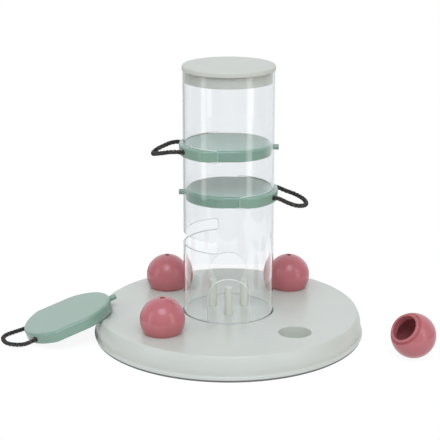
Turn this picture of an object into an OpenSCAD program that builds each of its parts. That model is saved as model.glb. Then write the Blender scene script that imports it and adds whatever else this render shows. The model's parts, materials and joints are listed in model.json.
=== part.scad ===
// Treat puzzle tower for cats: a round base with a clear tube, three pull-out shelves with
// cord loops, a push-in lid and four hollow balls that seat neck-down in recesses.
// Millimetres, +Z up, origin on the floor under the middle of the base.

/* [Base] */
// Diameter of the base over its lip
base_d = 250; // [240:1:300]
// Height of the flat top above the floor
base_h = 22.5; // [21:0.5:30]
// Radial run of the shoulder, from the edge of the flat top to the lip
shoulder_run = 5.5; // [4.5:0.5:8]
// Outward bulge of the shoulder between its ends
shoulder_bulge = 0.8; // [0:0.1:1.2]
// Rounding where the flat top turns into the shoulder
top_edge_r = 1.5; // [0.5:0.1:2.5]
// Radius of the cove between shoulder and lip
cove_r = 2.2; // [1:0.1:3]
// Height of the thin lip at full diameter
lip_h = 1.5; // [1:0.1:2.5]
// Wall of the moulded top, cups, socket and bosses
base_wall = 2.4; // [2:0.1:3]
// Least thickness of the outer skirt
skirt_wall = 3; // [2.5:0.1:4]
// Thickness of the ribs under the top
rib_t = 1.6; // [1.2:0.1:2.5]
// Gap between the ribs and the underside of the foot
rib_lift = 2; // [1:0.5:4]
// Number of straight ribs
rib_count = 12; // [12:12:24]

/* [Non-slip ring] */
// Height of the rubber band that shows under the lip
ring_h = 2; // [1.5:0.1:3]
// Set-back of the band behind the lip
ring_inset = 0.8; // [0.3:0.1:1.5]
// Width of the band on the floor
ring_w = 7; // [6:0.1:7.5]
// Width of the tongue that holds the ring in the foot
tongue_w = 2.4; // [1.8:0.1:2.8]
// Height of the tongue
tongue_h = 2.3; // [1.5:0.1:2.8]
// Play round the tongue
tongue_clear = 0.1; // [0.05:0.05:0.2]

/* [Ball recesses] */
// Distance of each recess from the middle, left or right
recess_x = 59; // [56:0.5:66]
// Distance of each recess from the middle, front or back
recess_y = 62; // [58:0.5:66]
// Depth of a recess
recess_depth = 11.5; // [8:0.5:14]
// Chamfer round the mouth of a recess
mouth_chamfer = 0.5; // [0.3:0.1:0.8]

/* [Treat posts] */
// Diameter of a post
post_d = 7.3; // [6:0.1:9]
// Height of a post above the base
post_h = 27; // [15:0.5:34]
// Distance of each post from the middle
post_ring_r = 17; // [13:0.5:22]
// Rounding at the top of a post
post_edge_r = 0.9; // [0.3:0.1:1.5]
// Diameter of the spigot under a post
spigot_d = 4.4; // [3:0.1:5]
// Length of the spigot
spigot_l = 8; // [5:0.5:9]
// Play round the spigot
spigot_clear = 0.1; // [0.05:0.05:0.2]

/* [Clear tube] */
// Outer diameter of the tube
tube_d = 83; // [76:0.5:90]
// Wall of the tube
tube_wall = 1.8; // [1.5:0.1:2.5]
// Height of the tube above the base
tube_h = 225.5; // [210:0.5:260]
// Depth of the ring socket that holds the tube's foot
socket_depth = 8; // [5:0.5:10]
// Play between the tube and its socket
socket_clear = 0.35; // [0.3:0.05:0.5]
// Width of an arched opening
arch_w = 37; // [30:0.5:42]
// Height of an arched opening above the base
arch_h = 42; // [32:0.5:48]
// Height of the lowest slot's middle above the base
first_slot_h = 70.8; // [60:0.1:76]
// Spacing of the slots up the tube
slot_pitch = 42; // [36:0.5:48]
// Distance of a slot's ends from the tube's middle, seen from the front
slot_end = 10; // [7:0.5:14]
// Corner radius of a slot
slot_corner_r = 2; // [1:0.1:2.5]

/* [Lid] */
// Overhang of the lid past the tube
lid_overhang = 0.5; // [0:0.1:2]
// Thickness of the lid's rim
lid_t = 4.5; // [4:0.1:6]
// Rise of the dome above the rim
lid_dome = 1; // [0.4:0.1:2]
// Rounding of the rim's top edge
lid_edge_r = 1.6; // [0.8:0.1:2]
// Wall of the lid
lid_wall = 2; // [1.6:0.1:2.6]
// Depth of the plug that goes into the tube
plug_h = 10.5; // [8:0.5:18]
// Play between the plug and the tube
plug_clear = 0.3; // [0.3:0.05:0.5]

/* [Shelves] */
// Thickness of a shelf
shelf_t = 10; // [9:0.1:12]
// Play above and below a shelf in its slot
shelf_clear = 0.3; // [0.3:0.05:0.6]
// Play on each side of a shelf in its slot
shelf_side_clear = 0.4; // [0.3:0.05:1]
// Play between a shelf's far end and the tube
shelf_end_clear = 0.7; // [0.4:0.05:1.2]
// How far the grip stands out of the tube
grip_proud = 3.5; // [3:0.1:6]
// Side wall of a shelf
shelf_wall = 2.2; // [1.8:0.1:2.6]
// Top plate of a shelf
shelf_top = 1.6; // [1.4:0.1:1.8]
// Rounding of a shelf's top edge
shelf_edge_r = 1.2; // [0.6:0.1:1.4]
// Rounding of a shelf's bottom edge
shelf_foot_r = 0.5; // [0.3:0.1:0.8]
// Thickness of the ribs under a shelf
shelf_rib_t = 1.6; // [1.2:0.1:2]
// Diameter of the guide pin opposite the grip
pin_d = 5; // [4:0.1:6]
// How far the pin stands out of the tube's far side
pin_proud = 3.8; // [3:0.1:9]
// Play round the pin in the tube's hole
pin_clear = 0.5; // [0.3:0.05:1]
// Chamfer at the end of the pin
pin_chamfer = 0.5; // [0.2:0.1:0.8]

/* [Cord loops] */
// Diameter of the braided cord
cord_d = 4.3; // [3:0.1:4.6]
// Distance of each cord hole from the shelf's middle line
cord_y = 20; // [16:0.5:22]
// Drop of the cord holes below the middle of the shelf
cord_drop = 0.4; // [0.2:0.1:0.6]
// Play round the cord in its hole
cord_clear = 0.3; // [0.2:0.05:0.4]
// Diameter of a stopper knot
knot_d = 7.2; // [6.2:0.1:7.2]
// Length of a stopper knot
knot_l = 8; // [6:0.5:9]

/* [Balls] */
// Diameter of a ball
ball_d = 40.6; // [36:0.2:46]
// Distance from a ball's middle down to its flat seat
seat_drop = 12.3; // [11:0.1:13]
// Wall of a ball
ball_wall = 2.2; // [1.8:0.1:2.6]
// Diameter of the hole in a ball's crown
crown_hole_d = 4.7; // [3:0.1:6]
// Outer diameter of a ball's neck
neck_d = 28; // [26:0.2:29]
// Inner diameter of a ball's neck
neck_bore_d = 23.6; // [20:0.2:24]
// How far the neck stands out below the seat
neck_h = 3.4; // [2.5:0.1:5]
// Chamfer at the foot of the neck
neck_chamfer = 0.6; // [0.3:0.1:1]
// Wall of the sleeve that holds the neck in the ball
sleeve_wall = 0.65; // [0.5:0.05:0.8]
// Play between the sleeve and the ball
sleeve_clear = 0.15; // [0.1:0.05:0.3]
// Height of the bead that snaps over the ball's seat
bead_h = 1.6; // [1:0.1:2.5]
// How far the bead stands out from the sleeve
bead_out = 0.65; // [0.3:0.05:0.8]
// Play between a neck and its recess
neck_clear = 0.7; // [0.4:0.05:1]

/* [Loose pieces] */
// Turn of the leaning shelf about the upright
lean_yaw = 20.5; // [0:0.5:30]
// Side tip of the leaning shelf
lean_roll = -4.5; // [-6:0.5:0]
// Floor run from the base's shoulder line to the foot of the leaning shelf
lean_run = 71.5; // [60:0.5:76]
// Sideways shift of the leaning shelf
lean_side = -4.5; // [-12:0.5:12]
// Gap left under the leaning shelf, at the floor and at the base
lean_clear = 0.3; // [0.2:0.05:0.5]
// Distance of the ball on the floor to the right of the middle
floor_ball_x = 164.5; // [155:0.5:200]
// Distance of the ball on the floor in front of the middle
floor_ball_y = 65; // [30:0.5:120]
// Direction of its neck, from +X towards +Y
floor_ball_turn = 217; // [190:1:250]
// Rise of its neck above the floor
floor_ball_rise = 40; // [15:1:60]

/* [Hidden] */
$fn = 96;
over = 1;
arc_steps = 6;

base_r = base_d / 2;
top_r = base_r - shoulder_run;
lip_top = ring_h + lip_h;
cavity_r = top_r - skirt_wall;
cavity_top = base_h - base_wall;
rib_z = ring_h + rib_lift;
ring_out = base_r - ring_inset;
ring_in = ring_out - ring_w;
tongue_mid = ring_out - ring_w / 2;

tube_r = tube_d / 2;
tube_in = tube_r - tube_wall;
tube_foot = base_h - socket_depth;
tube_top = base_h + tube_h;
socket_out = tube_r + socket_clear;
socket_in = tube_in - socket_clear;
slot_h = shelf_t + 2 * shelf_clear;
slot_z = [for (i = [0:2]) base_h + first_slot_h + i * slot_pitch];

lid_r = tube_r + lid_overhang;
plug_r = tube_in - plug_clear;
dome_r = (lid_r * lid_r + lid_dome * lid_dome) / (2 * lid_dome);

slot_half_w = sqrt(tube_in * tube_in - slot_end * slot_end);
shelf_half_w = slot_half_w - shelf_side_clear;
shelf_far_r = tube_in - shelf_end_clear;
grip_r = tube_r + grip_proud;
pin_end = tube_r + pin_proud;
cord_hole_d = cord_d + 2 * cord_clear;
grip_inner_r = grip_r - shelf_wall;
knot_gap = 0.3;
knot_face = -sqrt(pow(grip_inner_r, 2) - pow(cord_y + knot_d / 2, 2)) + knot_gap;

ball_r = ball_d / 2;
ball_in = ball_r - ball_wall;
sleeve_r = neck_bore_d / 2 + sleeve_wall;
seat_bore_r = sleeve_r + sleeve_clear;
recess_r = neck_d / 2 + neck_clear;
recess_places = [for (sx = [-1, 1], sy = [-1, 1]) [sx * recess_x, sy * recess_y]];
post_places = [for (a = [-90, 30, 150]) post_ring_r * [cos(a), sin(a)]];

// Resting place of the leaning shelf: its underside clears the rounded shoulder line of
// the base, and the lowest point of its grip clears the floor.
lean_tilt = -atan2(base_h, lean_run);
lean_across = cos(lean_tilt) * sin(lean_roll);
lean_upright = cos(lean_tilt) * cos(lean_roll);
lean_normal = [cos(lean_yaw) * sin(lean_tilt) * cos(lean_roll) + sin(lean_yaw) * sin(lean_roll),
               sin(lean_yaw) * sin(lean_tilt) * cos(lean_roll) - cos(lean_yaw) * sin(lean_roll)];
lean_slope = norm(lean_normal);
lean_z = lean_clear + grip_r * norm([sin(lean_tilt), lean_across]) + shelf_t / 2 * lean_upright;
lean_rim_r = top_r - top_edge_r;
lean_rim_z = base_h - top_edge_r;
lean_reach = lean_upright * lean_rim_z + lean_rim_r * lean_slope + top_edge_r;
lean_out = (lean_reach + shelf_t / 2 + lean_clear - lean_upright * lean_z) / lean_slope;
lean_dir = lean_normal / lean_slope;
lean_place = [lean_dir.x * lean_out - lean_dir.y * lean_side,
              lean_dir.y * lean_out + lean_dir.x * lean_side, lean_z];

// Free points of each cord loop in its shelf's own frame, from one hole round to the other.
loop_upper = [[-46, 20.2, 0], [-50, 19.6, -0.2], [-54, 18, -0.8], [-58, 15.4, -2],
              [-62, 12.2, -3.2], [-65.5, 8.5, -4.4], [-67.6, 4.4, -5.4], [-68.3, 0, -5.8],
              [-67.6, -4.4, -5.4], [-65.5, -8.5, -4.4], [-62, -12.2, -3.2], [-58, -15.4, -2],
              [-54, -18, -0.8], [-50, -19.6, -0.2], [-46, -20.2, 0]];
loop_middle = [[-45.5, 20.2, -1.2], [-49.5, 20.6, -3], [-53, 20.8, -4.6], [-57, 21, -6.1],
               [-60.5, 20.4, -7.3], [-64, 18, -8.4], [-67.5, 13.6, -9.4], [-70, 7.6, -10.1],
               [-71, 0, -10.4], [-70, -7.6, -10.1], [-67.5, -13.6, -9.4], [-64, -18, -8.4],
               [-60.5, -20.4, -7.3], [-57, -21, -6.1], [-53, -20.8, -4.6], [-49.5, -20.6, -3],
               [-45.5, -20.2, -1.2]];
loop_loose = [[-45, 19.9, -0.2], [-49, 19.6, 0.3], [-53, 18.9, 0.9], [-57, 17.3, 1.8],
    [-60.6, 14.6, 2.8], [-63.6, 10.6, 3.5], [-65.6, 5.4, 4], [-66, 0, 3.9],
    [-65.4, -4.9, 3.3], [-63.4, -9.4, 2.2], [-60.2, -13, 1.1], [-56.4, -15.7, -0.1],
    [-52, -17.6, -1.1], [-48, -18.9, -1.2], [-44.5, -19.8, -0.9]];
cord_sides = 8;
cord_exit = 41;

base_grey = [0.80, 0.82, 0.80];
rubber_grey = [0.36, 0.38, 0.36];
tube_clear = [0.92, 0.95, 0.97, 0.3];
sage = [0.56, 0.70, 0.65];
cord_black = [0.10, 0.10, 0.10];
rose = [0.68, 0.42, 0.44];

function arc(centre, r, from, to, steps = arc_steps) =
    [for (i = [0:steps]) let (a = from + (to - from) * i / steps) centre + r * [cos(a), sin(a)]];
function unit(v) = v / norm(v);
function mirror_y(p) = [p.x, -p.y, p.z];

// Outer line of the shoulder from the cove up to the flat top, bulging outward.
shoulder_low = [base_r - cove_r, lip_top + cove_r];
shoulder_high = [top_r, base_h - top_edge_r];
shoulder_side = unit([shoulder_high.y - shoulder_low.y, shoulder_low.x - shoulder_high.x]);
function shoulder_line() =
    [for (i = [1:arc_steps]) let (t = i / arc_steps)
        shoulder_low + (shoulder_high - shoulder_low) * t
        + shoulder_side * shoulder_bulge * 4 * t * (1 - t)];

// Section of a round plate with its top and bottom edges rounded.
function plate_section(r, t, top_round, foot_round) = concat(
    [[0, -t / 2]],
    arc([r - foot_round, -t / 2 + foot_round], foot_round, -90, 0, 4),
    arc([r - top_round, t / 2 - top_round], top_round, 0, 90),
    [[0, t / 2]]);

module ring(r_in, r_out, z0, z1) {
    translate([0, 0, z0])
        difference() {
            cylinder(r = r_out, h = z1 - z0);
            translate([0, 0, -over])
                cylinder(r = r_in, h = z1 - z0 + 2 * over);
        }
}

// Skin of the base: flat top, shoulder, cove, lip and a skirt that is open below.
module base_skin() {
    difference() {
        rotate_extrude()
            polygon(concat(
                [[0, ring_h], [base_r, ring_h], [base_r, lip_top]],
                arc([base_r, lip_top + cove_r], cove_r, 270, 180),
                shoulder_line(),
                arc([top_r - top_edge_r, base_h - top_edge_r], top_edge_r, 0, 90),
                [[0, base_h]]));
        translate([0, 0, ring_h - over])
            cylinder(r = cavity_r, h = cavity_top - ring_h + over);
    }
}

// Ribs, cups, tube socket and post bosses that hang under the flat top.
module base_frame() {
    roof = base_h - base_wall / 2;
    housing_r = socket_out + base_wall;
    cup_z = base_h - recess_depth - base_wall;
    socket_z = tube_foot - base_wall;
    span = cavity_r - housing_r;
    for (i = [0:rib_count - 1])
        rotate([0, 0, 360 / rib_count * i])
            translate([housing_r - rib_t, -rib_t / 2, rib_z])
                cube([span + 2 * rib_t, rib_t, roof - rib_z]);
    for (i = [1, 2]) {
        r = housing_r + span * i / 3;
        ring(r - rib_t / 2, r + rib_t / 2, rib_z, roof);
    }
    ring(socket_in - base_wall, housing_r, socket_z, roof);
    for (p = recess_places)
        translate([p.x, p.y, cup_z])
            cylinder(r = recess_r + base_wall, h = roof - cup_z);
    for (p = post_places)
        translate([p.x, p.y, base_h - base_wall - spigot_l])
            cylinder(d = spigot_d + 2 * spigot_clear + 2 * base_wall, h = spigot_l + base_wall / 2);
}

module base_shell() {
    tongue_gap = tongue_w / 2 + tongue_clear;
    color(base_grey)
        difference() {
            union() {
                base_skin();
                base_frame();
            }
            ring(socket_in, socket_out, tube_foot, base_h + over);
            ring(tongue_mid - tongue_gap, tongue_mid + tongue_gap, ring_h - over,
                 ring_h + tongue_h + tongue_clear);
            for (p = recess_places)
                translate([p.x, p.y, base_h]) {
                    translate([0, 0, -recess_depth])
                        cylinder(r = recess_r, h = recess_depth + over);
                    translate([0, 0, -mouth_chamfer])
                        cylinder(r1 = recess_r, r2 = recess_r + mouth_chamfer + over,
                                 h = mouth_chamfer + over);
                }
            for (p = post_places)
                translate([p.x, p.y, base_h - spigot_l - spigot_clear])
                    cylinder(d = spigot_d + 2 * spigot_clear, h = spigot_l + spigot_clear + over);
        }
}

module rubber_ring() {
    color(rubber_grey)
        rotate_extrude()
            polygon([[ring_in, 0], [ring_out, 0], [ring_out, ring_h],
                     [tongue_mid + tongue_w / 2, ring_h],
                     [tongue_mid + tongue_w / 2, ring_h + tongue_h],
                     [tongue_mid - tongue_w / 2, ring_h + tongue_h],
                     [tongue_mid - tongue_w / 2, ring_h], [ring_in, ring_h]]);
}

module treat_posts() {
    color(base_grey)
        for (p = post_places)
            translate([p.x, p.y, base_h])
                rotate_extrude()
                    polygon(concat(
                        [[0, -spigot_l], [spigot_d / 2, -spigot_l], [spigot_d / 2, 0],
                         [post_d / 2, 0]],
                        arc([post_d / 2 - post_edge_r, post_h - post_edge_r], post_edge_r, 0, 90, 4),
                        [[0, post_h]]));
}

// Slot cut straight in from the -X side, with rounded corners at its ends.
module slot_cut() {
    reach = tube_r + over;
    flat = slot_h - 2 * slot_corner_r;
    rotate([90, 0, 0])
        linear_extrude(height = 2 * reach, center = true) {
            translate([-reach, -slot_h / 2])
                square([reach - slot_end - slot_corner_r, slot_h]);
            translate([-reach, -flat / 2])
                square([reach - slot_end, flat]);
            for (up = [-1, 1])
                translate([-slot_end - slot_corner_r, up * flat / 2])
                    circle(r = slot_corner_r);
        }
}

// Slot and pin hole for one shelf, with the grip on the -X side.
module shelf_cut() {
    slot_cut();
    translate([tube_in - over, 0, 0])
        rotate([0, 90, 0])
            cylinder(d = pin_d + 2 * pin_clear, h = tube_wall + 2 * over);
}

// Arched openings at the front and the back, down to the top of the base.
module arch_cut() {
    spring = arch_h - arch_w / 2;
    translate([0, tube_r + over, base_h])
        rotate([90, 0, 0])
            linear_extrude(height = 2 * (tube_r + over)) {
                translate([-arch_w / 2, 0])
                    square([arch_w, spring]);
                translate([0, spring])
                    circle(d = arch_w);
            }
}

module clear_tube() {
    color(tube_clear)
        difference() {
            ring(tube_in, tube_r, tube_foot, tube_top);
            arch_cut();
            translate([0, 0, slot_z[0]])
                shelf_cut();
            translate([0, 0, slot_z[1]])
                rotate([0, 0, 180])
                    shelf_cut();
            translate([0, 0, slot_z[2]])
                shelf_cut();
        }
}

module lid() {
    dome_from = asin((lid_r - lid_edge_r) / dome_r);
    crown = [0, lid_t + lid_dome - dome_r];
    shoulder = crown + dome_r * [sin(dome_from), cos(dome_from)];
    color(base_grey)
        translate([0, 0, tube_top])
            rotate_extrude()
                polygon(concat(
                    [[plug_r - lid_wall, -plug_h], [plug_r, -plug_h], [plug_r, 0], [lid_r, 0]],
                    arc([lid_r - lid_edge_r, shoulder.y - lid_edge_r], lid_edge_r, 0, 90),
                    arc(crown, dome_r, 90 - dome_from, 90, 12),
                    [[0, lid_t - lid_wall], [plug_r - lid_wall, lid_t - lid_wall]]));
}

// Half of a shelf on the -X side: a round end of radius r between straight sides.
module shelf_end(r) {
    intersection() {
        rotate_extrude()
            polygon(plate_section(r, shelf_t, shelf_edge_r, shelf_foot_r));
        rotate([90, 0, -90])
            linear_extrude(height = r + over)
                union() {
                    polygon(plate_section(shelf_half_w, shelf_t, shelf_edge_r, shelf_foot_r));
                    mirror([1, 0])
                        polygon(plate_section(shelf_half_w, shelf_t, shelf_edge_r, shelf_foot_r));
                }
    }
}

// A shelf before it is hollowed: the wide grip on the -X side and the far end opposite.
module shelf_block() {
    shelf_end(grip_r);
    rotate([0, 0, 180])
        shelf_end(shelf_far_r);
}

// Hollow under a shelf, inside its walls and below its top plate.
module shelf_hollow() {
    inner_w = shelf_half_w - shelf_wall;
    depth = shelf_t - shelf_top + over;
    translate([0, 0, -shelf_t / 2 - over]) {
        intersection() {
            cylinder(r = shelf_far_r - shelf_wall, h = depth);
            translate([-over, -inner_w, 0])
                cube([shelf_far_r + over, 2 * inner_w, depth]);
        }
        intersection() {
            cylinder(r = grip_inner_r, h = depth);
            translate([-grip_r, -inner_w, 0])
                cube([grip_r, 2 * inner_w, depth]);
        }
    }
}

module shelf_ribs() {
    rib_h = shelf_t - shelf_top / 2;
    low = -shelf_t / 2;
    reach = shelf_half_w - shelf_wall / 2;
    far_reach = shelf_far_r - shelf_wall / 2;
    translate([-grip_inner_r - shelf_wall / 2, -shelf_rib_t / 2, low])
        cube([grip_inner_r + far_reach + shelf_wall / 2, shelf_rib_t, rib_h]);
    for (x = [-1, 1] * shelf_half_w / 3) {
        half = x < 0 ? reach : min(reach, sqrt(pow(far_reach, 2) - pow(x + shelf_rib_t / 2, 2)));
        translate([x - shelf_rib_t / 2, -half, low])
            cube([shelf_rib_t, 2 * half, rib_h]);
    }
}

module shelf_pin() {
    root = shelf_far_r - shelf_wall / 2;
    rotate([0, 90, 0])
        rotate_extrude()
            polygon([[0, root], [pin_d / 2, root], [pin_d / 2, pin_end - pin_chamfer],
                     [pin_d / 2 - pin_chamfer, pin_end], [0, pin_end]]);
}

module shelf() {
    color(sage)
        difference() {
            union() {
                difference() {
                    shelf_block();
                    shelf_hollow();
                }
                shelf_ribs();
                shelf_pin();
            }
            for (side = [-1, 1])
                translate([-grip_r - over, side * cord_y, -cord_drop])
                    rotate([0, 90, 0])
                        cylinder(d = cord_hole_d, h = grip_r + knot_face + over);
        }
}

// Tube swept along a route, with flat ends square to its first and last runs.
module cord(free_points) {
    start = [[knot_face, cord_y, -cord_drop], [-cord_exit, cord_y, -cord_drop]];
    route = concat(start, free_points, [mirror_y(start[1]), mirror_y(start[0])]);
    last = len(route) - 1;
    rings = [for (i = [0:last])
        let (
            along = unit(route[min(i + 1, last)] - route[max(i - 1, 0)]),
            flat_end = i == 0 || i == last,
            t = flat_end ? [sign(along.x), 0, 0] : along,
            side = unit(cross(t, [0, 0, 1])),
            up = cross(side, t)
        )
        [for (k = [0:cord_sides - 1])
            let (a = 360 * k / cord_sides)
            route[i] + cord_d / 2 * (cos(a) * side + sin(a) * up)]];
    points = [for (r = rings) each r];
    n = cord_sides;
    walls = [for (i = [0:last - 1], k = [0:n - 1])
        let (a = i * n + k, b = i * n + (k + 1) % n)
        each [[a, b, a + n], [b, b + n, a + n]]];
    first_cap = [for (k = [1:n - 2]) [0, k + 1, k]];
    last_cap = [for (k = [1:n - 2]) [last * n, last * n + k, last * n + k + 1]];
    color(cord_black)
        polyhedron(points, concat(walls, first_cap, last_cap));
}

// Stopper knots inside a shelf, one on each end of the cord.
module knots() {
    turns = 3;
    turn_l = knot_l / turns;
    waist = knot_d / 2 - turn_l / 4;
    color(cord_black)
        for (side = [-1, 1])
            translate([knot_face, side * cord_y, -cord_drop])
                rotate([0, 90, 0])
                    rotate_extrude()
                        polygon(concat(
                            [[0, 0]],
                            [for (i = [0:turns - 1])
                                each arc([waist, (i + 0.5) * turn_l], turn_l / 4, -90, 90, 4)],
                            [[0, knot_l]]));
}

module ball_shell() {
    color(rose)
        difference() {
            sphere(r = ball_r);
            intersection() {
                sphere(r = ball_in);
                translate([-ball_r, -ball_r, ball_wall - seat_drop])
                    cube(2 * ball_r);
            }
            translate([-ball_r, -ball_r, -2 * ball_r - seat_drop])
                cube(2 * ball_r);
            translate([0, 0, -ball_r])
                cylinder(r = seat_bore_r, h = ball_r);
            cylinder(d = crown_hole_d, h = ball_r + over);
        }
}

// Neck ring under the seat, with a sleeve and a bead that snap into the ball.
module ball_collar() {
    bore = neck_bore_d / 2;
    bead_z = ball_wall - seat_drop + sleeve_clear;
    color(rose)
        rotate_extrude()
            polygon([[bore, -seat_drop - neck_h],
                     [neck_d / 2 - neck_chamfer, -seat_drop - neck_h],
                     [neck_d / 2, -seat_drop - neck_h + neck_chamfer],
                     [neck_d / 2, -seat_drop], [sleeve_r, -seat_drop], [sleeve_r, bead_z],
                     [sleeve_r + bead_out, bead_z], [sleeve_r, bead_z + bead_h],
                     [bore, bead_z + bead_h]]);
}

module at_upper() {
    translate([0, 0, slot_z[2]])
        children();
}

module at_middle() {
    translate([0, 0, slot_z[1]])
        rotate([0, 0, 180])
            children();
}

module at_lean() {
    translate(lean_place)
        rotate([lean_roll, lean_tilt, lean_yaw])
            children();
}

module at_recess(side, depth) {
    translate([side * recess_x, depth * recess_y, base_h + seat_drop])
        children();
}

module at_floor_ball() {
    translate([floor_ball_x, -floor_ball_y, ball_r])
        rotate([0, 90 - floor_ball_rise, floor_ball_turn])
            mirror([0, 0, 1])
                children();
}

base_shell();
rubber_ring();
treat_posts();
clear_tube();
lid();
at_upper() shelf();  // shelf_upper
at_middle() shelf();  // shelf_middle
at_lean() shelf();  // shelf_loose
at_upper() cord(loop_upper);  // cord_upper
at_middle() cord(loop_middle);  // cord_middle
at_lean() cord(loop_loose);  // cord_loose
at_upper() knots();  // knots_upper
at_middle() knots();  // knots_middle
at_lean() knots();  // knots_loose
at_recess(-1, -1) ball_shell();  // ball_front_left
at_recess(-1, 1) ball_shell();  // ball_back_left
at_recess(1, 1) ball_shell();  // ball_back_right
at_floor_ball() ball_shell();  // ball_loose
at_recess(-1, -1) ball_collar();  // collar_front_left
at_recess(-1, 1) ball_collar();  // collar_back_left
at_recess(1, 1) ball_collar();  // collar_back_right
at_floor_ball() ball_collar();  // collar_loose
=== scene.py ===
import json
import math

import bmesh
import bpy
from mathutils import Euler, Matrix, Vector, geometry


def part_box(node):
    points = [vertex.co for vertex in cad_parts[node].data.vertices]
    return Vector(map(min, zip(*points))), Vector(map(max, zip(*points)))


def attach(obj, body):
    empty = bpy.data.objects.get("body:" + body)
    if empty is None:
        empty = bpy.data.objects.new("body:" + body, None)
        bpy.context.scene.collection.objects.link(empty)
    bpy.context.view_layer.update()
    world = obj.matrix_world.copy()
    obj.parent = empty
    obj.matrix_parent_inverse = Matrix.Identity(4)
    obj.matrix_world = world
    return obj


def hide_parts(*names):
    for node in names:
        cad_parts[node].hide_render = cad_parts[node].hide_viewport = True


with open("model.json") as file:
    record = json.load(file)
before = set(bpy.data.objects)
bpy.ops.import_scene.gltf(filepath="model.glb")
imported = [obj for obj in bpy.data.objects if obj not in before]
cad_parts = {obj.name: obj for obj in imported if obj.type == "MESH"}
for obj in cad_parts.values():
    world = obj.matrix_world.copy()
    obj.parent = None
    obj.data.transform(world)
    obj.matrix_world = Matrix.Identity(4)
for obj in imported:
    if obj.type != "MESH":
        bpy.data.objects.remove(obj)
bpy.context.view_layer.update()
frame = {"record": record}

scene = bpy.context.scene
scene.view_settings.view_transform = "Standard"
mm = 0.001


# View: a long lens straight in front of the arch, a little above the tower and pitched down,
# so that the base shows as a flat ellipse and the whole object is in focus.
camera_data = bpy.data.cameras.new("front_view")
camera_data.sensor_width = 36
camera_data.lens = 113.2
camera = bpy.data.objects.new("front_view", camera_data)
camera.location = (-7.79 * mm, -1218 * mm, 467 * mm)
camera.rotation_euler = (math.radians(73.592), 0, 0)
scene.collection.objects.link(camera)
scene.camera = camera


# Studio: a sheet of white paper under the object and white all round for the camera. The clear
# tube mirrors a dim room in front, and its edges draw in the grey sides of a cool backdrop.
def reckoned(tree, operation, one, two):
    """One step of arithmetic on a socket, with another socket or with a number."""
    step = tree.nodes.new("ShaderNodeMath")
    step.operation = operation
    tree.links.new(one, step.inputs[0])
    if isinstance(two, (int, float)):
        step.inputs[1].default_value = two
    else:
        tree.links.new(two, step.inputs[1])
    return step.outputs["Value"]


def seen(tree):
    """1 for what is seen, mirrored or looked at through clear plastic, 0 for light on a surface."""
    path = tree.nodes.new("ShaderNodeLightPath").outputs
    shown = reckoned(tree, "MAXIMUM", path["Is Camera Ray"], path["Is Glossy Ray"])
    shown = reckoned(tree, "MAXIMUM", shown, path["Is Transmission Ray"])
    return reckoned(tree, "MULTIPLY", shown, reckoned(tree, "LESS_THAN", path["Diffuse Depth"], 1))


def studio_paper():
    """White paper that shows as white, less a faint shadow, and bounces light as paper does."""
    own_white, shadow_depth, bounced = 0.91, 0.13, 0.8
    material = bpy.data.materials.new("studio_paper")
    material.use_nodes = True
    tree = material.node_tree
    tree.nodes.clear()
    glow = tree.nodes.new("ShaderNodeEmission")
    glow.inputs["Strength"].default_value = own_white
    shaded = tree.nodes.new("ShaderNodeBsdfDiffuse")
    shaded.inputs["Color"].default_value = (shadow_depth, shadow_depth, shadow_depth, 1)
    shown = tree.nodes.new("ShaderNodeAddShader")
    tree.links.new(glow.outputs[0], shown.inputs[0])
    tree.links.new(shaded.outputs[0], shown.inputs[1])
    bounce = tree.nodes.new("ShaderNodeBsdfDiffuse")
    bounce.inputs["Color"].default_value = (bounced, bounced, bounced, 1)
    choice = tree.nodes.new("ShaderNodeMixShader")
    tree.links.new(seen(tree), choice.inputs["Fac"])
    tree.links.new(bounce.outputs[0], choice.inputs[1])
    tree.links.new(shown.outputs[0], choice.inputs[2])
    output = tree.nodes.new("ShaderNodeOutputMaterial")
    tree.links.new(choice.outputs[0], output.inputs["Surface"])
    return material


paper_half, paper_deep, paper_z = 0.3, 0.2, -0.05 * mm
paper_mesh = bpy.data.meshes.new("paper_floor")
paper_mesh.from_pydata(
    [(-paper_half, -paper_deep, paper_z), (paper_half, -paper_deep, paper_z),
     (paper_half, paper_deep, paper_z), (-paper_half, paper_deep, paper_z)], [], [(0, 1, 2, 3)])
paper_mesh.materials.append(studio_paper())
paper = bpy.data.objects.new("paper_floor", paper_mesh)
scene.collection.objects.link(paper)


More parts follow.
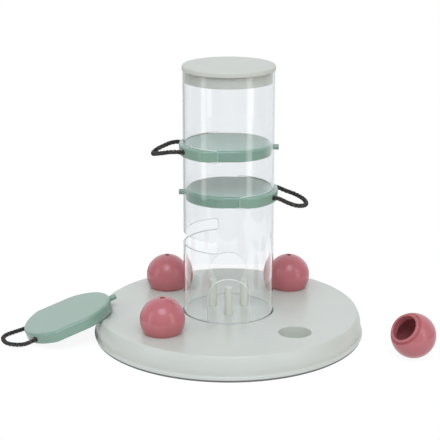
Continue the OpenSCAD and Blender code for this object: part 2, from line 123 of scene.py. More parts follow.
def studio_surround():
    """White for the eye, a dim room and grey-sided backdrop for mirrors, and a soft fill light."""
    front_fill, back_fill = 0.75, 0.53
    room_level, left_level, right_level, high_level = 0.3, 0.55, 0.8, 1.25
    world = bpy.data.worlds.new("studio_surround")
    world.use_nodes = True
    tree = world.node_tree
    way = tree.nodes.new("ShaderNodeTexCoord")
    parts = tree.nodes.new("ShaderNodeSeparateXYZ")
    tree.links.new(way.outputs["Generated"], parts.inputs["Vector"])
    fades = []
    for axis, start, end, low, high in (("Y", 0.1, 0.6, room_level, 1),
                                        ("X", -0.4, -0.12, left_level, 1),
                                        ("X", 0.12, 0.4, 1, right_level),
                                        ("Z", -0.1, 0.15, 0, 1),
                                        ("Y", -0.6, 0.6, front_fill, back_fill)):
        fade = tree.nodes.new("ShaderNodeMapRange")
        fade.inputs["From Min"].default_value = start
        fade.inputs["From Max"].default_value = end
        fade.inputs["To Min"].default_value = low
        fade.inputs["To Max"].default_value = high
        tree.links.new(parts.outputs[axis], fade.inputs["Value"])
        fades.append(fade.outputs["Result"])
    depth, left, right, height, fill = fades
    upper = tree.nodes.new("ShaderNodeMix")
    upper.inputs["B"].default_value = high_level
    tree.links.new(height, upper.inputs["Factor"])
    tree.links.new(reckoned(tree, "MULTIPLY", left, right), upper.inputs["A"])
    backdrop = reckoned(tree, "MULTIPLY", depth, upper.outputs["Result"])
    path = tree.nodes.new("ShaderNodeLightPath").outputs
    unmirrored = reckoned(tree, "LESS_THAN", path["Glossy Depth"], 1)
    through = reckoned(tree, "MULTIPLY", path["Is Transmission Ray"], unmirrored)
    shown = tree.nodes.new("ShaderNodeMix")
    shown.inputs["B"].default_value = 1
    tree.links.new(reckoned(tree, "MAXIMUM", path["Is Camera Ray"], through),
                   shown.inputs["Factor"])
    tree.links.new(backdrop, shown.inputs["A"])
    level = tree.nodes.new("ShaderNodeMix")
    tree.links.new(seen(tree), level.inputs["Factor"])
    tree.links.new(fill, level.inputs["A"])
    tree.links.new(shown.outputs["Result"], level.inputs["B"])
    tint = tree.nodes.new("ShaderNodeMix")
    tint.data_type = "RGBA"
    tint.inputs["A"].default_value = (0.945, 0.972, 1, 1)
    tint.inputs["B"].default_value = (1, 1, 1, 1)
    tree.links.new(path["Is Camera Ray"], tint.inputs["Factor"])
    glow = tree.nodes["Background"]
    tree.links.new(tint.outputs["Result"], glow.inputs["Color"])
    tree.links.new(level.outputs["Result"], glow.inputs["Strength"])
    return world


scene.world = studio_surround()


# Lamps: one tall softbox on each side of the camera, which draw the pale upright bands on the
# tube, and a wide, cooler one high in front that lights the flat tops.
def softbox(name, turn, rise, distance, width, height, brightness, colour):
    """A lamp behind a cloth, brightest along its middle and dark at its two upright edges."""
    middle, peak = 0.5, 1.5
    lamp = bpy.data.lights.new(name, "AREA")
    lamp.shape = "RECTANGLE"
    lamp.size = width
    lamp.size_y = height
    lamp.energy = brightness * math.pi * width * height
    lamp.color = colour
    lamp.use_nodes = True
    tree = lamp.node_tree
    parts = tree.nodes.new("ShaderNodeSeparateXYZ")
    cloth = tree.nodes.new("ShaderNodeNewGeometry").outputs["Parametric"]
    tree.links.new(cloth, parts.inputs["Vector"])
    offset = reckoned(tree, "SUBTRACT", parts.outputs["X"], middle)
    fall = reckoned(tree, "MULTIPLY", reckoned(tree, "POWER", offset, 2), -peak / middle ** 2)
    tree.links.new(reckoned(tree, "ADD", fall, peak), tree.nodes["Emission"].inputs["Strength"])
    stand = bpy.data.objects.new(name, lamp)
    turn, rise = math.radians(turn), math.radians(rise)
    away = Vector((math.sin(turn) * math.cos(rise), -math.cos(turn) * math.cos(rise),
                   math.sin(rise)))
    aim = Vector((0, 0, 100 * mm))
    stand.location = aim + away * distance
    stand.rotation_euler = away.to_track_quat("Z", "Y").to_euler()
    scene.collection.objects.link(stand)


warm_white, cool_white = (1, 0.98, 0.93), (0.9, 0.96, 1.1)
softbox("left_softbox", turn=-66, rise=12, distance=2.2, width=0.8, height=2.2,
        brightness=1.05, colour=warm_white)
softbox("right_softbox", turn=53, rise=12, distance=2.2, width=0.85, height=2.2,
        brightness=1.2, colour=warm_white)
softbox("top_softbox", turn=0, rise=56, distance=3.6, width=3, height=1.95,
        brightness=2.7, colour=cool_white)


# Base: a round polypropylene moulding in pale grey-green, flat on top with a rounded shoulder
# and a thin lip. Four cups, a ring socket for the tube and a grid of ribs hang under its top.
def rounded(corners, steps=6):
    """Closed outline through corners (across, up, radius), each rounded by its own arc."""
    outline = []
    for i, (across, up, radius) in enumerate(corners):
        here = Vector((across, up))
        if radius == 0:
            outline.append(here)
            continue
        back = (Vector(corners[i - 1][:2]) - here).normalized()
        ahead = (Vector(corners[(i + 1) % len(corners)][:2]) - here).normalized()
        half_turn = back.angle(ahead) / 2
        centre = here + (back + ahead).normalized() * radius / math.sin(half_turn)
        start = here + back * radius / math.tan(half_turn) - centre
        end = here + ahead * radius / math.tan(half_turn) - centre
        outline += [centre + start.slerp(end, k / steps).normalized() * radius
                    for k in range(steps + 1)]
    return outline


def meshed(name, shape):
    """The finished shape as a mesh, with every face turned outward."""
    bmesh.ops.recalc_face_normals(shape, faces=shape.faces)
    mesh = bpy.data.meshes.new(name)
    shape.to_mesh(mesh)
    shape.free()
    return mesh


def turned(name, outline, turns=128, place=(0, 0, 0)):
    """Closed mesh of an outline of (radius, height) points turned round the upright."""
    shape = bmesh.new()
    rings = []
    for radius, height in outline:
        count = 1 if radius < 1e-6 else turns
        rings.append([
            shape.verts.new((radius * math.cos(2 * math.pi * k / turns) + place[0],
                             radius * math.sin(2 * math.pi * k / turns) + place[1],
                             height + place[2]))
            for k in range(count)])
    for low, high in zip(rings, rings[1:] + rings[:1]):
        if len(low) + len(high) == 2:
            continue
        for k in range(turns):
            corners = [low[k % len(low)], low[(k + 1) % len(low)],
                       high[(k + 1) % len(high)], high[k % len(high)]]
            shape.faces.new(list(dict.fromkeys(corners)))
    return meshed(name, shape)


def block(name, low, high, turn=0):
    """Straight-sided bar between two corners, turned about the upright."""
    shape = bmesh.new()
    bmesh.ops.create_cube(shape, size=1)
    middle = (Vector(low) + Vector(high)) / 2
    size = Vector(high) - Vector(low)
    matrix = (Matrix.Rotation(turn, 4, "Z") @ Matrix.Translation(middle)
              @ Matrix.Diagonal((*size, 1)))
    bmesh.ops.transform(shape, matrix=matrix, verts=shape.verts)
    return meshed(name, shape)


def worked(mesh, joined, cut):
    """The mesh with other meshes moulded on and others cut away."""
    blank = bpy.data.objects.new(mesh.name, mesh)
    scene.collection.objects.link(blank)
    tools = []
    for operation, others in (("UNION", joined), ("DIFFERENCE", cut)):
        if not others:
            continue
        kit = bpy.data.collections.new(operation)
        for other in others:
            tool = bpy.data.objects.new(other.name, other)
            kit.objects.link(tool)
            tools.append(tool)
        step = blank.modifiers.new(operation, "BOOLEAN")
        step.operation = operation
        step.operand_type = "COLLECTION"
        step.collection = kit
        step.solver = "EXACT"
    graph = bpy.context.evaluated_depsgraph_get()
    made = bpy.data.meshes.new_from_object(blank.evaluated_get(graph))
    for tool in [blank, *tools]:
        bpy.data.objects.remove(tool)
    return made


def piece(name, mesh, material, body, slot, *nodes, place=Matrix.Identity(4), flat_turn=30):
    """Shows a mesh with its finish, carried by a body in place of that body's solids."""
    mesh.transform(place)
    mesh.shade_smooth()
    mesh.set_sharp_from_angle(angle=math.radians(flat_turn))
    mesh.materials.clear()
    mesh.materials.append(material)
    item = bpy.data.objects.new(name, mesh)
    scene.collection.objects.link(item)
    weigh = item.modifiers.new("even_shading", "WEIGHTED_NORMAL")
    weigh.keep_sharp = True
    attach(item, body)
    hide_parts(*nodes)
    return item


def cloudy(material, size, detail):
    """A cloudy pattern from 0 to 1, of clouds about the given size, that stays with the piece."""
    nodes, links = material.node_tree.nodes, material.node_tree.links
    where = nodes.new("ShaderNodeTexCoord")
    pattern = nodes.new("ShaderNodeTexNoise")
    pattern.inputs["Scale"].default_value = 1 / size
    pattern.inputs["Detail"].default_value = detail
    links.new(where.outputs["Object"], pattern.inputs["Vector"])
    return pattern.outputs["Fac"]


def raised(material, pattern, strength, depth):
    """Lifts a material's surface by a pattern."""
    nodes, links = material.node_tree.nodes, material.node_tree.links
    relief = nodes.new("ShaderNodeBump")
    relief.inputs["Strength"].default_value = strength
    relief.inputs["Distance"].default_value = depth
    links.new(pattern, relief.inputs["Height"])
    links.new(relief.outputs["Normal"], nodes["Principled BSDF"].inputs["Normal"])


def moulded_plastic(name, colour, roughness, grain=0.25 * mm, tone=0.03, spot=30 * mm):
    """Satin moulded plastic: slightly cloudy pigment, a fine mould grain and patchy gloss."""
    patchiness, grain_strength = 0.02, 0.1
    material = bpy.data.materials.new(name)
    material.use_nodes = True
    nodes, links = material.node_tree.nodes, material.node_tree.links
    shader = nodes["Principled BSDF"]
    shader.inputs["IOR"].default_value = 1.49
    pigment = nodes.new("ShaderNodeMix")
    pigment.data_type = "RGBA"
    pigment.inputs["A"].default_value = (*[c * (1 - tone) for c in colour], 1)
    pigment.inputs["B"].default_value = (*[c * (1 + tone) for c in colour], 1)
    links.new(cloudy(material, spot, detail=3), pigment.inputs["Factor"])
    links.new(pigment.outputs["Result"], shader.inputs["Base Color"])
    gloss = nodes.new("ShaderNodeMapRange")
    gloss.inputs["To Min"].default_value = roughness - patchiness
    gloss.inputs["To Max"].default_value = roughness + patchiness
    links.new(cloudy(material, spot / 4, detail=4), gloss.inputs["Value"])
    links.new(gloss.outputs["Result"], shader.inputs["Roughness"])
    raised(material, cloudy(material, grain, detail=2), grain_strength, grain / 8)
    return material


base_low, base_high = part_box("base_shell")
foot_z, base_top, lip_r = base_low.z, base_high.z, base_high.x
lip_h = 1.5 * mm
lip_z = foot_z + lip_h
cove_r, cove_steps = 2.2 * mm, 6
shoulder_w = 5.5 * mm
shoulder_edge_r = 2.6 * mm
shoulder_bulge = 1.9 * mm
shoulder_steps = 12
top_r = lip_r - shoulder_w
base_wall = 2.4 * mm
skirt_wall = 3 * mm
rib_t = 1.6 * mm
rib_lift = 2 * mm
rib_count = 12
tube_low, tube_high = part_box("clear_tube")
tube_r = tube_high.x
tube_wall = 1.8 * mm
socket_gap = 0.35 * mm
socket_inner_gap = 0.04 * mm
socket_out = tube_r + socket_gap
socket_in = tube_r - tube_wall - socket_inner_gap
inner_mouth_r, outer_mouth_r = 0.15 * mm, 1.4 * mm
lip_top_r, lip_foot_r = 0.3 * mm, 0.25 * mm
skirt_foot_r, ceiling_r = 0.4 * mm, 1 * mm
housing_root_r, housing_foot_r = 0.6 * mm, 0.3 * mm
housing_r = socket_out + base_wall
housing_z = tube_low.z - base_wall
recess_mount = next(m for m in frame["record"]["mounts"] if m["name"] == "ball_recess")
recess_r = recess_mount["dims"]["r_mm"] * mm
recess_x, recess_y = abs(recess_mount["pos_m"][0]), abs(recess_mount["pos_m"][1])
recess_depth = 11.5 * mm
mouth_r = 0.7 * mm
recess_floor_r = 0.6 * mm
cavity_r = top_r - skirt_wall
ceiling_z = base_top - base_wall
rib_z = foot_z + rib_lift
ring_low, ring_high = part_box("rubber_ring")
ring_out = ring_high.x
ring_w = 7 * mm
tongue_w = 2.4 * mm
tongue_mid = ring_out - ring_w / 2
groove_gap = 0.1 * mm
groove_half = tongue_w / 2 + groove_gap
groove_z = ring_high.z + groove_gap
shoulder_low = Vector((lip_r - cove_r, lip_z + cove_r))
shoulder_high = Vector((top_r, base_top))
shoulder_out = (shoulder_low - shoulder_high).orthogonal().normalized() * shoulder_bulge
shoulder = []
for k in range(shoulder_steps + 1):
    t = k / shoulder_steps
    bulge = shoulder_out * 4 * t * (1 - t)
    corner_r = 0 if k else shoulder_edge_r
    shoulder.append((*(shoulder_high.lerp(shoulder_low, t) + bulge), corner_r))
cove = []
for k in range(1, cove_steps):
    turn = math.pi + math.pi / 2 * k / cove_steps
    cove.append((lip_r + cove_r * math.cos(turn), lip_z + cove_r + cove_r * math.sin(turn), 0))
base_outline = rounded([
    (0, base_top, 0), (socket_in, base_top, inner_mouth_r), (socket_in, tube_low.z, 0),
    (socket_out, tube_low.z, 0), (socket_out, base_top, outer_mouth_r), *shoulder, *cove,
    (lip_r, lip_z, lip_top_r), (lip_r, foot_z, lip_foot_r),
    (tongue_mid + groove_half, foot_z, 0), (tongue_mid + groove_half, groove_z, 0),
    (tongue_mid - groove_half, groove_z, 0), (tongue_mid - groove_half, foot_z, 0),
    (cavity_r, foot_z, skirt_foot_r), (cavity_r, ceiling_z, ceiling_r),
    (housing_r, ceiling_z, housing_root_r), (housing_r, housing_z, housing_foot_r),
    (socket_in - base_wall, housing_z, housing_foot_r),
    (socket_in - base_wall, ceiling_z, housing_root_r), (0, ceiling_z, 0)])
recess_places = [(x * recess_x, y * recess_y, 0) for x in (-1, 1) for y in (-1, 1)]
recess_z = base_top - recess_depth
roof_z = base_top - base_wall / 2
over, skim = 2 * mm, 0.01 * mm
cup_outline = [(0, recess_z - base_wall), (recess_r + base_wall, recess_z - base_wall),
               (recess_r + base_wall, roof_z), (0, roof_z)]
mouth_z = base_top + skim
recess_outline = rounded([
    (0, recess_z, 0), (recess_r, recess_z, recess_floor_r), (recess_r, mouth_z, mouth_r),
    (recess_r + over, mouth_z, 0), (recess_r + over, base_top + over, 0),
    (0, base_top + over, 0)])
cups = [turned("cup", cup_outline, turns=96, place=place) for place in recess_places]
recesses = [turned("recess", recess_outline, turns=96, place=place) for place in recess_places]
posts_low, posts_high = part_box("treat_posts")
post_r = 3.65 * mm
spigot_r = 2.2 * mm
spigot_gap = 0.1 * mm
spigot_hole_r = spigot_r + spigot_gap
boss_r = spigot_hole_r + base_wall
post_ring_r = -posts_low.y - post_r
post_places = []
for turn in (-90, 30, 150):
    turn = math.radians(turn)
    post_places.append((post_ring_r * math.cos(turn), post_ring_r * math.sin(turn), 0))
boss_z = posts_low.z - base_wall
boss_outline = [(0, boss_z), (boss_r, boss_z), (boss_r, roof_z), (0, roof_z)]
spigot_floor = posts_low.z - spigot_gap
spigot_hole_outline = [(0, spigot_floor), (spigot_hole_r, spigot_floor),
                       (spigot_hole_r, base_top + over), (0, base_top + over)]
bosses = [turned("boss", boss_outline, turns=48, place=place) for place in post_places]
spigot_holes = [turned("spigot_hole", spigot_hole_outline, turns=32, place=place)
                for place in post_places]
spokes = [block("spoke", (housing_r - rib_t, -rib_t / 2, rib_z),
                (cavity_r + rib_t, rib_t / 2, roof_z), 2 * math.pi * k / rib_count)
          for k in range(rib_count)]
rib_rings = []
for k in (1, 2):
    ring_r = housing_r + (cavity_r - housing_r) * k / 3
    rib_rings.append(turned("rib_ring", [
        (ring_r - rib_t / 2, rib_z), (ring_r + rib_t / 2, rib_z),
        (ring_r + rib_t / 2, roof_z), (ring_r - rib_t / 2, roof_z)]))
base_mesh = worked(turned("base", base_outline, turns=192),
                   joined=[*cups, *bosses, *spokes, *rib_rings], cut=[*recesses, *spigot_holes])
pale_plastic = moulded_plastic("pale_moulded_plastic", colour=(0.59, 0.61, 0.55), roughness=0.31)
piece("base_moulding", base_mesh, pale_plastic, "base", "base_plastic", "base_shell")


# Non-slip ring: a grey rubber band pressed into a groove in the base's foot by its tongue.
# Only its outer edge shows, as a dark line under the lip.
def foot_rubber():
    """Dull grey rubber, mottled and coarser than the plastics."""
    material = moulded_plastic("foot_rubber", colour=(0.17, 0.18, 0.17), roughness=0.75,
                               grain=0.4 * mm, tone=0.15, spot=6 * mm)
    material.node_tree.nodes["Principled BSDF"].inputs["Specular IOR Level"].default_value = 0.3
    return material


ring_inner_r, ring_outer_r, tongue_r = 0.4 * mm, 0.5 * mm, 0.4 * mm
ring_outline = rounded([
    (ring_out - ring_w, ring_low.z, ring_inner_r), (ring_out, ring_low.z, ring_outer_r),
    (ring_out, foot_z, 0), (tongue_mid + tongue_w / 2, foot_z, 0),
    (tongue_mid + tongue_w / 2, ring_high.z, tongue_r),
    (tongue_mid - tongue_w / 2, ring_high.z, tongue_r),
    (tongue_mid - tongue_w / 2, foot_z, 0), (ring_out - ring_w, foot_z, 0)], steps=4)
piece("non_slip_ring", turned("non_slip_ring", ring_outline, turns=192), foot_rubber(),
      "base", "foot_rubber", "rubber_ring")


# Treat posts: three round polypropylene pegs that stand inside the tube's foot and slow the
# paw. Each is pushed into a boss under the base by the spigot at its foot.
spigot_edge_r, post_foot_r, post_edge_r = 0.4 * mm, 0.3 * mm, 0.9 * mm
post_outline = rounded([
    (0, posts_low.z, 0), (spigot_r, posts_low.z, spigot_edge_r), (spigot_r, base_top, 0),
    (post_r, base_top, post_foot_r), (post_r, posts_high.z, post_edge_r), (0, posts_high.z, 0)])
post_shapes = bmesh.new()
for place in post_places:
    post_shapes.from_mesh(turned("post", post_outline, turns=48, place=place))
post_plastic = moulded_plastic("post_plastic", colour=(0.64, 0.66, 0.57), roughness=0.4)
piece("treat_pegs", meshed("treat_pegs", post_shapes), post_plastic, "base", "post_plastic",
      "treat_posts")


# Clear tube: an injection-moulded polystyrene tube with an arch front and back, a slot on one
# side for each shelf and a pin hole opposite. Its foot drops into the base's ring socket.
def rim(arcs, fills, grow=0):
    """Closed outline of arcs (x, y, radius, from, to, steps) joined by straight runs."""
    corners = []
    for x, y, radius, first, last, steps in arcs:
        turns = [math.radians(first + (last - first) * k / steps) for k in range(steps + 1)]
        corners.append([Vector((x, y)) + (radius + grow) * Vector((math.cos(a), math.sin(a)))
                        for a in turns])
    outline = []
    for i, run in enumerate(corners):
        outline += run
        after = corners[(i + 1) % len(corners)][0]
        outline += [run[-1].lerp(after, k / fills[i]) for k in range(1, fills[i])]
    return outline


edge_r = 0.35 * mm
inner_r = tube_r - tube_wall
wall_r = tube_r - tube_wall / 2
arch_half = 18.5 * mm
arch_corner = 0.8 * mm
arch_h = 42 * mm
arch_top = base_top + arch_h
slot_half = 5.3 * mm
slot_corner = 2 * mm
slot_end = 10 * mm
pin_hole_r = 3 * mm
slot_reach = wall_r * math.acos(slot_end / wall_r)
slot_run, slot_rise = slot_reach - slot_corner, slot_half - slot_corner
arch_arcs = [
    (arch_half - arch_corner, base_top + arch_corner, arch_corner, -90, 0, 4),
    (0, arch_top - arch_half, arch_half, 0, 180, 36),
    (arch_corner - arch_half, base_top + arch_corner, arch_corner, 180, 270, 4)]
slot_arcs = [
    (slot_run, -slot_rise, slot_corner, -90, 0, 6), (slot_run, slot_rise, slot_corner, 0, 90, 6),
    (-slot_run, slot_rise, slot_corner, 90, 180, 6),
    (-slot_run, -slot_rise, slot_corner, 180, 270, 6)]
shelf_sides = {"upper": -1, "middle": 1}
slot_places = []
for level, side in shelf_sides.items():
    low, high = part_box("shelf_" + level)
    slot_places.append((side, (low.z + high.z) / 2))
slot_pitch = slot_places[0][1] - slot_places[1][1]
slot_places.append((-1, slot_places[1][1] - slot_pitch))


def unrolled(outline, turn, up):
    """A straight-through cut's outline as (turn about the tube, height)."""
    return [(turn + math.asin(p.x / wall_r), p.y + up) for p in outline]


def tube_rims(grow):
    """Every opening's outline as (turn, height), a little larger where the edge is rounded."""
    rims = [unrolled(rim(arch_arcs, (8, 8, 24), grow), turn, 0) for turn in (0, math.pi)]
    for side, up in slot_places:
        turn = side * math.pi / 2
        rims.append([(turn + p.x / wall_r, p.y + up)
                     for p in rim(slot_arcs, (3, 60, 3, 60), grow)])
        hole = rim([(0, 0, pin_hole_r, 0, 345, 23)], (1,), grow)
        rims.append(unrolled(hole, -turn, up))
    return rims


def clear_wall():
    """The unrolled wall between its openings: points, triangles and the outlines they meet."""
    columns, rows = 144, 38
    hub, margin = 50 * mm, 1.2 * mm
    keep_all, tolerance = 0, 1e-9
    turns = [2 * math.pi * k / columns for k in range(columns)]
    low, high = tube_low.z + edge_r, tube_high.z - edge_r
    ends = [[(a, z) for a in turns] for z in (low, high)]
    rims = tube_rims(edge_r)

    def flat(point):
        return Vector((math.cos(point[0]), math.sin(point[0]))) * (point[1] + hub)

    def inside(turn, up, loop):
        if not min(z for a, z in loop) < up < max(z for a, z in loop):
            return False
        middle = sum(a for a, z in loop) / len(loop)
        turn = (turn - middle + math.pi) % (2 * math.pi) - math.pi + middle
        crossings = 0
        for (a, z), (b, w) in zip(loop, loop[1:] + loop[:1]):
            if (z > up) != (w > up):
                crossings += a + (up - z) / (w - z) * (b - a) > turn
        return crossings % 2 == 1

    loops = ends + rims
    points = [p for loop in loops for p in loop]
    edges, first = [], 0
    for loop in loops:
        edges += [(first + k, first + (k + 1) % len(loop)) for k in range(len(loop))]
        first += len(loop)
    wide = tube_rims(margin)
    for k in range(1, rows):
        z = low + (high - low) * k / rows
        points += [(a, z) for a in turns if not any(inside(a, z, loop) for loop in wide)]
    flat_points, _, faces, origin, _, _ = geometry.delaunay_2d_cdt(
        [flat(p) for p in points], edges, [], keep_all, tolerance)
    points = [points[o[0]] for o in origin]
    skin = []
    for face in faces:
        middle = sum((flat_points[i] for i in face), Vector((0, 0))) / 3
        turn, z = math.atan2(middle.y, middle.x), middle.length - hub
        if z > low and not any(inside(turn, z, loop) for loop in rims):
            skin.append(face)
    return points, skin, loops


def tube_mesh():
    """The wall as a mesh. Cuts near the front and back run straight through, not radially."""
    cut_straight = 25 * mm
    points, skin, loops = clear_wall()
    places, normals, faces = [], [], []

    def add(turn, z, radius, out, along, up):
        """One point of the wall; its normal mixes outward, along the wall and up."""
        across = wall_r * math.sin(turn)
        if abs(across) < cut_straight:
            shift = math.asin(across / radius) - math.asin(across / wall_r)
            turn += shift if math.cos(turn) > 0 else -shift
        away = Vector((math.sin(turn), -math.cos(turn), 0))
        side = Vector((math.cos(turn), math.sin(turn), 0))
        places.append(away * radius + Vector((0, 0, z)))
        normals.append((away * out + side * along + Vector((0, 0, up))).normalized())
        return len(places) - 1

    outer = [add(a, z, tube_r, 1, 0, 0) for a, z in points]
    inner = [add(a, z, inner_r, -1, 0, 0) for a, z in points]
    faces += [[outer[i] for i in face] for face in skin]
    faces += [[inner[i] for i in reversed(face)] for face in skin]
    index = {p: i for i, p in enumerate(points)}
    exact = [[(a, tube_low.z) for a, _ in loops[0]], [(a, tube_high.z) for a, _ in loops[1]],
             *tube_rims(0)]
    steps = 3
    for loop, edge in zip(loops, exact):
        count = len(loop)
        lines = [[outer[index[p]] for p in loop]]
        for side, order in ((1, range(1, steps + 1)), (-1, range(steps, 0, -1))):
            for k in order:
                bend = math.pi / 2 * k / steps
                radius = (tube_r if side > 0 else inner_r) - side * edge_r * (1 - math.cos(bend))
                line = []
                for (a, z), (b, w) in zip(loop, edge):
                    along, up = (b - a) * wall_r / edge_r, (w - z) / edge_r
                    line.append(add(a + (b - a) * math.sin(bend), z + (w - z) * math.sin(bend),
                                    radius, side * math.cos(bend), along * math.sin(bend),
                                    up * math.sin(bend)))
                lines.append(line)
        lines.append([inner[index[p]] for p in loop])
        for one, two in zip(lines, lines[1:]):
            faces += [[one[k], one[(k + 1) % count], two[(k + 1) % count], two[k]]
                      for k in range(count)]
    mesh = bpy.data.meshes.new("treat_tube")
    mesh.from_pydata(places, [], faces)
    for face in mesh.polygons[2 * len(skin):]:
        face.material_index = 1
    shape = bmesh.new()
    shape.from_mesh(mesh)
    bmesh.ops.recalc_face_normals(shape, faces=shape.faces)
    shape.to_mesh(mesh)
    shape.free()
    mesh.shade_smooth()
    mesh.normals_split_custom_set_from_vertices(normals)
    return mesh


def clear_polystyrene(name, roughness, clearness):
    """Clear plastic with a faint cool tint and slow ripples; lamps shine through it."""
    ripple, ripple_strength, ripple_depth = 25 * mm, 0.1, 0.2 * mm
    material = bpy.data.materials.new(name)
    material.use_nodes = True
    nodes, links = material.node_tree.nodes, material.node_tree.links
    shader = nodes["Principled BSDF"]
    shader.inputs["Base Color"].default_value = (0.985, 0.99, 0.99, 1)
    shader.inputs["Roughness"].default_value = roughness
    shader.inputs["IOR"].default_value = 1.5
    shader.inputs["Transmission Weight"].default_value = clearness
    raised(material, cloudy(material, ripple, detail=1), ripple_strength, ripple_depth)
    path = nodes.new("ShaderNodeLightPath")
    clear = nodes.new("ShaderNodeBsdfTransparent")
    clear.inputs["Color"].default_value = (0.955, 0.965, 0.97, 1)
    through = nodes.new("ShaderNodeMixShader")
    links.new(path.outputs["Is Shadow Ray"], through.inputs["Fac"])
    links.new(shader.outputs["BSDF"], through.inputs[1])
    links.new(clear.outputs["BSDF"], through.inputs[2])
    links.new(through.outputs["Shader"], nodes["Material Output"].inputs["Surface"])
    return material


tube = bpy.data.objects.new("treat_tube", tube_mesh())
tube.data.materials.append(clear_polystyrene("clear_polystyrene", roughness=0.02, clearness=1))
tube.data.materials.append(clear_polystyrene("satin_cut_edge", roughness=0.4, clearness=0.5))
scene.collection.objects.link(tube)
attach(tube, "tower")
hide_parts("clear_tube")


# Shelves: sage polypropylene trays, hollow and ribbed below, with a half-round far end, a wider
# curved grip, a guide pin and two cord holes. Two sit in the tube and one leans on the base.
upper_low, upper_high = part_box("shelf_upper")
shelf_t = upper_high.z - upper_low.z
shelf_half = upper_high.y
grip_r = -upper_low.x
pin_end = upper_high.x
far_gap = 0.7 * mm
far_r = inner_r - far_gap
pin_r = 2.5 * mm
shelf_wall = 2.2 * mm
shelf_top = 1.6 * mm
top_edge_r = 2.4 * mm
foot_edge_r = 0.5 * mm
grip_corner = 6 * mm
far_corner = 15 * mm
shelf_rib_t = 1.6 * mm
cord_r = 2.15 * mm
cord_y = 20 * mm
cord_drop = 0.4 * mm
cord_gap = 0.3 * mm
cord_hole_r = cord_r + cord_gap
cord_hole_start, cord_hole_end = -60 * mm, -30 * mm
pin_edge_r = 0.5 * mm
tray_root = 1 * mm
lean_roll, lean_pitch, lean_turn = -4.5, -17.47, 20.5
corner_y = shelf_half - grip_corner
corner_x = -math.sqrt((grip_r - grip_corner) ** 2 - corner_y ** 2)
corner_turn = math.degrees(math.atan2(corner_y, corner_x))
far_corner_y = shelf_half - far_corner
far_corner_x = math.sqrt((far_r - far_corner) ** 2 - far_corner_y ** 2)
far_turn = math.degrees(math.atan2(far_corner_y, far_corner_x))
shelf_arcs = [
    (far_corner_x, -far_corner_y, far_corner, -90, -far_turn, 4),
    (0, 0, far_r, -far_turn, far_turn, 48),
    (far_corner_x, far_corner_y, far_corner, far_turn, 90, 4),
    (corner_x, corner_y, grip_corner, 90, corner_turn, 8),
    (0, 0, grip_r, corner_turn, 360 - corner_turn, 40),
    (corner_x, -corner_y, grip_corner, 360 - corner_turn, 270, 8)]


def shelf_shell():
    """The tray without its ribs, pin and holes: one skin outside and one inside."""
    half = shelf_t / 2
    ceiling = half - shelf_top
    edge_steps, weld = 5, 1e-7
    bends = [math.pi / 2 * k / edge_steps for k in range(edge_steps + 1)]
    levels = [(shelf_wall + tray_root, ceiling), (shelf_wall, ceiling - tray_root),
              (shelf_wall, -half)]
    levels += [(foot_edge_r * (1 - math.sin(a)), -half + foot_edge_r * (1 - math.cos(a)))
               for a in bends]
    levels += [(top_edge_r * (1 - math.cos(a)), half - top_edge_r * (1 - math.sin(a)))
               for a in bends]
    shape = bmesh.new()
    rings = []
    for inset, z in levels:
        rings.append([shape.verts.new((p.x, p.y, z))
                      for p in rim(shelf_arcs, (1, 1, 6, 1, 1, 6), -inset)])
    count = len(rings[0])
    for low, high in zip(rings, rings[1:]):
        for k in range(count):
            shape.faces.new([low[k], low[(k + 1) % count], high[(k + 1) % count], high[k]])
    shape.faces.new(rings[0])
    shape.faces.new(rings[-1])
    bmesh.ops.remove_doubles(shape, verts=shape.verts, dist=weld)
    return meshed("shelf", shape)


def lying(mesh, place=(0, 0, 0)):
    """A turned mesh laid along the shelf's length."""
    mesh.transform(Matrix.Translation(place) @ Matrix.Rotation(math.pi / 2, 4, "Y"))
    return mesh


rib_reach = shelf_half - shelf_wall / 2
far_reach = far_r - shelf_wall / 2
rib_low, rib_high = -shelf_t / 2, shelf_t / 2 - shelf_top / 2
long_rib = block("rib", (-grip_r + shelf_wall / 2, -shelf_rib_t / 2, rib_low),
                 (far_reach, shelf_rib_t / 2, rib_high))
cross_ribs = []
cross_x = shelf_half / 3
far_half = min(rib_reach, math.sqrt(far_reach ** 2 - (cross_x + shelf_rib_t / 2) ** 2))
for x, half in ((-cross_x, rib_reach), (cross_x, far_half)):
    cross_ribs.append(block("rib", (x - shelf_rib_t / 2, -half, rib_low),
                            (x + shelf_rib_t / 2, half, rib_high)))
pin_outline = rounded([
    (0, far_reach, 0), (pin_r, far_reach, 0), (pin_r, pin_end, pin_edge_r), (0, pin_end, 0)])
pin = lying(turned("pin", pin_outline, turns=32))
cord_hole_outline = [(0, cord_hole_start), (cord_hole_r, cord_hole_start),
                     (cord_hole_r, cord_hole_end), (0, cord_hole_end)]
cord_holes = [lying(turned("cord_hole", cord_hole_outline, turns=32),
                    (0, side * cord_y, -cord_drop)) for side in (-1, 1)]
shelf_mesh = worked(shelf_shell(), joined=[long_rib, *cross_ribs, pin], cut=cord_holes)

upper_place = Matrix.Translation((0, 0, slot_places[0][1]))
middle_place = Matrix.Translation((0, 0, slot_places[1][1])) @ Matrix.Rotation(math.pi, 4, "Z")
lean = Euler([math.radians(a) for a in (lean_roll, lean_pitch, lean_turn)], "XYZ").to_matrix()


def middle_of(node):
    """The middle of a solid's box."""
    low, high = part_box(node)
    return (low + high) / 2


